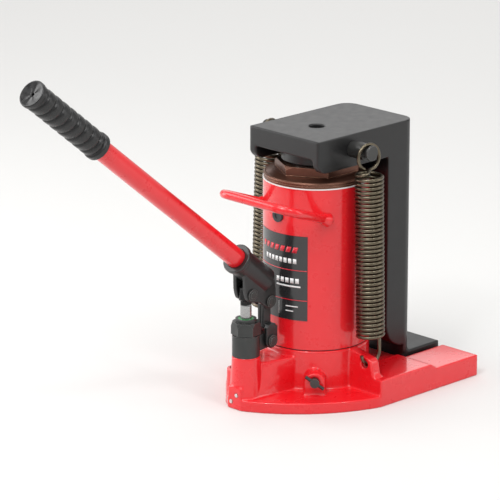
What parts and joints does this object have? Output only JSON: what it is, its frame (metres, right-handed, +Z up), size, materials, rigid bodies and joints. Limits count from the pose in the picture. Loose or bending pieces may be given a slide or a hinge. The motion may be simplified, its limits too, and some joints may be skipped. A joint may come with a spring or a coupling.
{
  "type": "toe jack",
  "caption": "Hydraulic toe jack: lever pump on a U-shaped base lifts a black claw with a head plate above the ram and a low toe at the back, pulled down by two return springs.",
  "frame": {"origin": "on the floor, under the centre of the ram, on the underside of the base", "axes": "+Z up, +X from the ram towards the toe, with the pump and lever at -X, and Y across the jack"},
  "size_m": [0.5765, 0.219, 0.4215],
  "materials": {
    "red_paint": "gloss",
    "black_paint": "satin",
    "black_oxide": "satin",
    "brown_oxide": "satin",
    "yellow_zinc": "satin",
    "polished_steel": "polished",
    "plain_steel": "brushed",
    "grip_rubber": "matte",
    "seal_rubber": "matte",
    "green_seal": "satin",
    "white_nylon": "matte",
    "label_film": "gloss"
  },
  "bodies": {
    "base": {"base_casting": "red_paint", "reservoir_tube": "red_paint", "tube_gasket": "seal_rubber", "tube_top_ring": "white_nylon", "inner_cylinder": "plain_steel", "cylinder_seal_ring": "plain_steel", "top_nut": "brown_oxide", "ram_wiper": "seal_rubber", "label_plate": "label_film", "carry_handle": "red_paint", "passage_plugs": "plain_steel", "pump_cylinder": "black_oxide", "pump_seat_washer": "plain_steel", "pump_gland_nut": "black_oxide", "pump_gland_seal": "green_seal", "check_balls": "polished_steel", "relief_ball": "polished_steel", "relief_spring": "plain_steel", "relief_screw": "black_oxide", "release_ball": "polished_steel", "return_spring_near": "yellow_zinc", "return_spring_far": "yellow_zinc"},
    "release_valve": {"release_screw": "black_oxide", "release_tbar": "black_oxide", "release_seal": "seal_rubber"},
    "filler": {"filler_plug": "grip_rubber"},
    "pump_plunger": {"plunger": "polished_steel", "plunger_seal": "seal_rubber"},
    "link": {"link_strap_near": "black_paint", "link_strap_far": "black_paint", "lower_pin": "black_oxide", "lower_pin_clip": "black_oxide"},
    "socket": {"handle_socket": "black_paint", "plunger_pin": "black_oxide", "link_pin": "black_oxide", "handle_pin_clips": "black_oxide"},
    "lever": {"lever_tube": "red_paint", "lever_grip": "grip_rubber"},
    "lift": {"claw": "black_paint", "ram": "polished_steel", "ram_head": "black_paint", "ram_screw": "black_oxide", "piston_seal": "seal_rubber", "piston_guide_ring": "white_nylon", "spring_pin_near": "black_paint", "spring_pin_far": "black_paint"}
  },
  "joints": [
    {"name": "claw_lift", "type": "slide", "parent": "base", "child": "lift", "axis": [0, 0, 1], "range_m": [0, 0.14], "stiffness_N_per_m": 5500, "springref_m": -0.03, "deforming": ["return_spring_near", "return_spring_far"]},
    {"name": "link_rock", "type": "hinge", "parent": "base", "child": "link", "pos_m": [-0.0812, 0, 0.0721], "axis": [0, 1, 0], "range_deg": [-2.2, 5.8]},
    {"name": "lever_pump", "type": "hinge", "parent": "link", "child": "socket", "pos_m": [-0.0812, 0, 0.1171], "axis": [0, 1, 0], "range_deg": [-39.5, 13.9]},
    {"name": "plunger_stroke", "type": "slide", "parent": "base", "child": "pump_plunger", "axis": [0, 0, 1], "range_m": [-0.018, 0.0065]},
    {"name": "lever_pull", "type": "slide", "parent": "socket", "child": "lever", "axis": [-0.776, 0, 0.6307], "range_m": [0, 0.05]},
    {"name": "release_turn", "type": "hinge", "parent": "base", "child": "release_valve", "pos_m": [-0.05728, -0.05513, 0.0285], "axis": [-0.7206, -0.6934, 0], "range_deg": [0, 540]},
    {"name": "filler_plug_pull", "type": "slide", "parent": "base", "child": "filler", "axis": [-1, 0, 0], "range_m": [0, 0.015]}
  ],
  "couplings": [
    {"joint": "link_rock", "follows": "lever_pump", "ratio": -0.14},
    {"joint": "plunger_stroke", "follows": "lever_pump", "m_per_rad": 0.0257}
  ]
}
